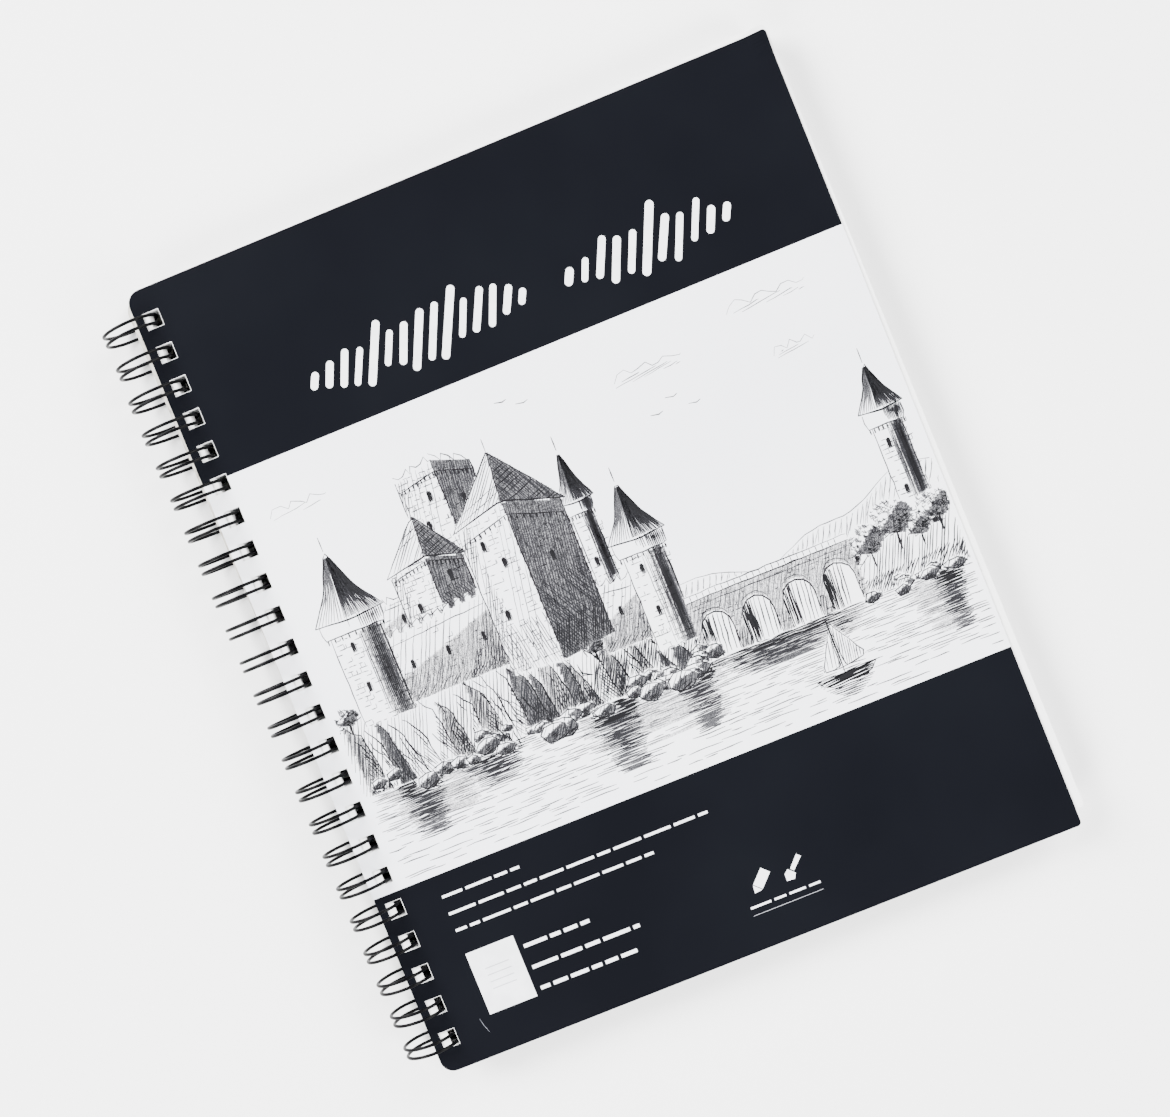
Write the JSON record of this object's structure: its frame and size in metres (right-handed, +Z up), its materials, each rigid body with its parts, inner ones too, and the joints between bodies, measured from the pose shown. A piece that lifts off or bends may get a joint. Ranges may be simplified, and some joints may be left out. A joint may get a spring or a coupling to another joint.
{
  "type": "sketchbook",
  "caption": "Spiral sketchbook lying closed: printed card front cover, a block of loose drawing sheets and a stiff back board on a black double-loop wire binding.",
  "frame": {"origin": "middle of the closed book's outline, on the table that it lies on", "axes": "+X from the spine to the fore-edge, +Y along the spine to the head of the cover, +Z up"},
  "size_m": [0.2602, 0.305, 0.0211],
  "materials": {
    "cover_print": "satin print on smooth white card",
    "back_board": "matt grey chipboard",
    "drawing_paper": "matt, fine tooth",
    "coated_wire": "black nylon-coated steel wire, satin"
  },
  "bodies": {
    "back_cover": {"back_cover": "back_board"},
    "binding_wire": {"binding_wire": "coated_wire"},
    "lower_sheets": {"sheets_068_070": "drawing_paper", "sheets_071_073": "drawing_paper", "sheets_074_076": "drawing_paper", "sheets_077_079": "drawing_paper", "sheets_080_082": "drawing_paper", "sheets_083_085": "drawing_paper", "sheets_086_088": "drawing_paper", "sheets_089_091": "drawing_paper", "sheets_092_094": "drawing_paper", "sheets_095_097": "drawing_paper", "sheets_098_100": "drawing_paper"},
    "middle_sheets": {"sheets_035_037": "drawing_paper", "sheets_038_040": "drawing_paper", "sheets_041_043": "drawing_paper", "sheets_044_046": "drawing_paper", "sheets_047_049": "drawing_paper", "sheets_050_052": "drawing_paper", "sheets_053_055": "drawing_paper", "sheets_056_058": "drawing_paper", "sheets_059_061": "drawing_paper", "sheets_062_064": "drawing_paper", "sheets_065_067": "drawing_paper"},
    "upper_sheets": {"sheets_002_004": "drawing_paper", "sheets_005_007": "drawing_paper", "sheets_008_010": "drawing_paper", "sheets_011_013": "drawing_paper", "sheets_014_016": "drawing_paper", "sheets_017_019": "drawing_paper", "sheets_020_022": "drawing_paper", "sheets_023_025": "drawing_paper", "sheets_026_028": "drawing_paper", "sheets_029_031": "drawing_paper", "sheets_032_034": "drawing_paper"},
    "first_sheet": {"sheet_001": "drawing_paper"},
    "front_cover": {"front_cover": "cover_print"}
  },
  "joints": [
    {"name": "binding_roll", "type": "hinge", "parent": "back_cover", "child": "binding_wire", "pos_m": [-0.11958, 0, 0.0106], "axis": [0, -1, 0], "range_deg": [-245, 0]},
    {"name": "lower_sheets_turn", "type": "hinge", "parent": "back_cover", "child": "lower_sheets", "pos_m": [-0.11958, 0, 0.0106], "axis": [0, -1, 0], "range_deg": [0, 180]},
    {"name": "middle_sheets_turn", "type": "hinge", "parent": "lower_sheets", "child": "middle_sheets", "pos_m": [-0.11958, 0, 0.0106], "axis": [0, -1, 0], "range_deg": [0, 180]},
    {"name": "upper_sheets_turn", "type": "hinge", "parent": "middle_sheets", "child": "upper_sheets", "pos_m": [-0.11958, 0, 0.0106], "axis": [0, -1, 0], "range_deg": [0, 180]},
    {"name": "first_sheet_turn", "type": "hinge", "parent": "upper_sheets", "child": "first_sheet", "pos_m": [-0.11958, 0, 0.0106], "axis": [0, -1, 0], "range_deg": [0, 180]},
    {"name": "front_cover_turn", "type": "hinge", "parent": "first_sheet", "child": "front_cover", "pos_m": [-0.11958, 0, 0.0106], "axis": [0, -1, 0], "range_deg": [0, 180]}
  ]
}
